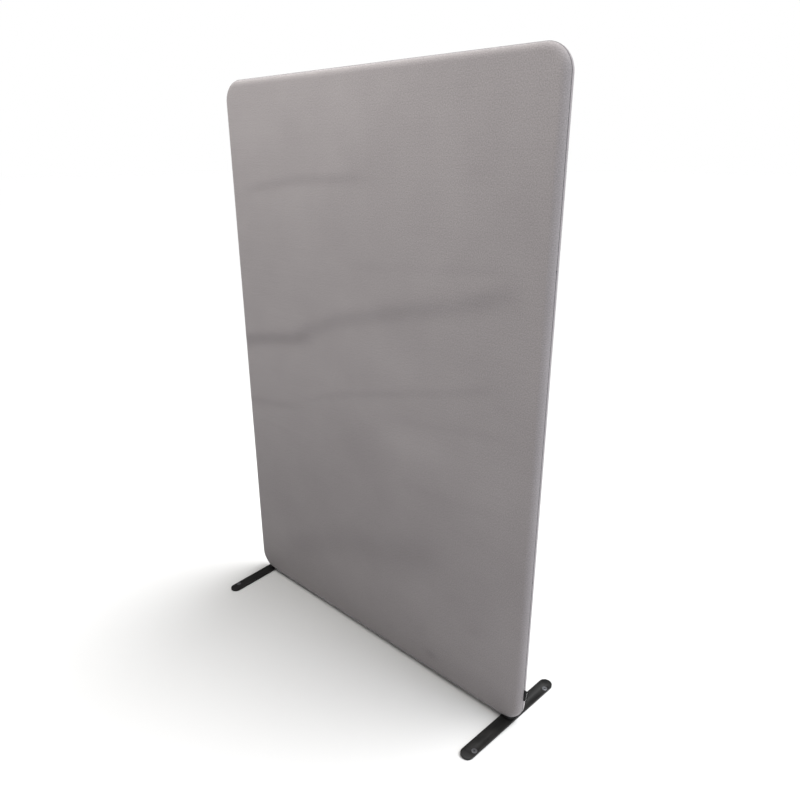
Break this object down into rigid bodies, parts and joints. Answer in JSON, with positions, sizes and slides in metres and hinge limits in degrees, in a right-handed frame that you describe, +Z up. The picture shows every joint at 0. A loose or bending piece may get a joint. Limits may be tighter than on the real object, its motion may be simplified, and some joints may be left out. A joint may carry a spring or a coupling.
{
  "type": "partition wall",
  "caption": "Free-standing fabric partition wall: rounded plug-together tube frame under a zipped stretch cover, on flat steel feet that swivel.",
  "frame": {"origin": "on the floor, under the middle of the wall", "axes": "+Z up, +X along the wall, -Y towards its front face"},
  "size_m": [1.2558, 0.4144, 1.8],
  "materials": {
    "tube": "satin",
    "sleeve": "satin",
    "button": "satin",
    "spring": "satin",
    "rivet": "satin",
    "cover": "matte",
    "zip_tape": "matte",
    "zip_chain": "satin",
    "zip_metal": "satin",
    "label": "satin",
    "foot": "satin",
    "screw": "satin",
    "boss": "satin",
    "pad": "matte",
    "saddle": "matte"
  },
  "bodies": {
    "frame": {"bottom_rail": "tube", "top_rail": "tube", "post_lower_left": "tube", "post_lower_right": "tube", "post_upper_left": "tube", "post_upper_right": "tube", "elbow_bottom_left": "tube", "elbow_bottom_right": "tube", "elbow_top_left": "tube", "elbow_top_right": "tube", "sleeve_bottom_left_post": "sleeve", "sleeve_bottom_right_post": "sleeve", "sleeve_top_left_post": "sleeve", "sleeve_top_right_post": "sleeve", "sleeve_bottom_left_rail": "sleeve", "sleeve_bottom_right_rail": "sleeve", "sleeve_top_left_rail": "sleeve", "sleeve_top_right_rail": "sleeve", "sleeve_middle_left": "sleeve", "sleeve_middle_right": "sleeve", "button_springs": "spring", "sleeve_rivets": "rivet", "cover_front": "cover", "cover_back": "cover", "zip_tape_upper": "zip_tape", "zip_tape_lower": "zip_tape", "zip_chain_upper": "zip_chain", "zip_chain_lower": "zip_chain", "zip_stops": "zip_metal", "side_label": "label", "foot_bolt_left": "screw", "foot_bolt_right": "screw", "threaded_boss_left": "boss", "threaded_boss_right": "boss", "saddle_left": "saddle", "saddle_right": "saddle"},
    "foot_left": {"foot_plate_left": "foot", "glide_screws_left": "screw", "foot_pads_left": "pad"},
    "foot_right": {"foot_plate_right": "foot", "glide_screws_right": "screw", "foot_pads_right": "pad"},
    "button_bottom_left_post": {"snap_button_bottom_left_post": "button"},
    "button_bottom_right_post": {"snap_button_bottom_right_post": "button"},
    "button_top_left_post": {"snap_button_top_left_post": "button"},
    "button_top_right_post": {"snap_button_top_right_post": "button"},
    "button_bottom_left_rail": {"snap_button_bottom_left_rail": "button"},
    "button_bottom_right_rail": {"snap_button_bottom_right_rail": "button"},
    "button_top_left_rail": {"snap_button_top_left_rail": "button"},
    "button_top_right_rail": {"snap_button_top_right_rail": "button"},
    "button_middle_left": {"snap_button_middle_left": "button"},
    "button_middle_right": {"snap_button_middle_right": "button"},
    "slider": {"zip_slider": "zip_metal"},
    "pull": {"zip_pull": "zip_metal"}
  },
  "joints": [
    {"name": "foot_left_swivel", "type": "hinge", "parent": "frame", "child": "foot_left", "pos_m": [-0.573, 0, 0.0045], "axis": [0, 0, 1], "continuous": true},
    {"name": "foot_right_swivel", "type": "hinge", "parent": "frame", "child": "foot_right", "pos_m": [0.573, 0, 0.0045], "axis": [0, 0, 1], "continuous": true},
    {"name": "button_bottom_left_post_press", "type": "slide", "parent": "frame", "child": "button_bottom_left_post", "axis": [-1, 0, 0], "range_m": [0, 0.004], "stiffness_N_per_m": 1500, "springref_m": -0.002, "deforming": ["button_springs"]},
    {"name": "button_bottom_right_post_press", "type": "slide", "parent": "frame", "child": "button_bottom_right_post", "axis": [1, 0, 0], "range_m": [0, 0.004], "stiffness_N_per_m": 1500, "springref_m": -0.002, "deforming": ["button_springs"]},
    {"name": "button_top_left_post_press", "type": "slide", "parent": "frame", "child": "button_top_left_post", "axis": [-1, 0, 0], "range_m": [0, 0.004], "stiffness_N_per_m": 1500, "springref_m": -0.002, "deforming": ["button_springs"]},
    {"name": "button_top_right_post_press", "type": "slide", "parent": "frame", "child": "button_top_right_post", "axis": [1, 0, 0], "range_m": [0, 0.004], "stiffness_N_per_m": 1500, "springref_m": -0.002, "deforming": ["button_springs"]},
    {"name": "button_bottom_left_rail_press", "type": "slide", "parent": "frame", "child": "button_bottom_left_rail", "axis": [0, 0, -1], "range_m": [0, 0.004], "stiffness_N_per_m": 1500, "springref_m": -0.002, "deforming": ["button_springs"]},
    {"name": "button_bottom_right_rail_press", "type": "slide", "parent": "frame", "child": "button_bottom_right_rail", "axis": [0, 0, -1], "range_m": [0, 0.004], "stiffness_N_per_m": 1500, "springref_m": -0.002, "deforming": ["button_springs"]},
    {"name": "button_top_left_rail_press", "type": "slide", "parent": "frame", "child": "button_top_left_rail", "axis": [0, 0, 1], "range_m": [0, 0.004], "stiffness_N_per_m": 1500, "springref_m": -0.002, "deforming": ["button_springs"]},
    {"name": "button_top_right_rail_press", "type": "slide", "parent": "frame", "child": "button_top_right_rail", "axis": [0, 0, 1], "range_m": [0, 0.004], "stiffness_N_per_m": 1500, "springref_m": -0.002, "deforming": ["button_springs"]},
    {"name": "button_middle_left_press", "type": "slide", "parent": "frame", "child": "button_middle_left", "axis": [-1, 0, 0], "range_m": [0, 0.004], "stiffness_N_per_m": 1500, "springref_m": -0.002, "deforming": ["button_springs"]},
    {"name": "button_middle_right_press", "type": "slide", "parent": "frame", "child": "button_middle_right", "axis": [1, 0, 0], "range_m": [0, 0.004], "stiffness_N_per_m": 1500, "springref_m": -0.002, "deforming": ["button_springs"]},
    {"name": "zip_slider_run", "type": "slide", "parent": "frame", "child": "slider", "axis": [-1, 0, 0], "range_m": [0, 1.06]},
    {"name": "zip_pull_flip", "type": "hinge", "parent": "slider", "child": "pull", "pos_m": [0.5312, 0.0242, 0.09], "axis": [0, 0, -1], "range_deg": [0, 170]}
  ]
}
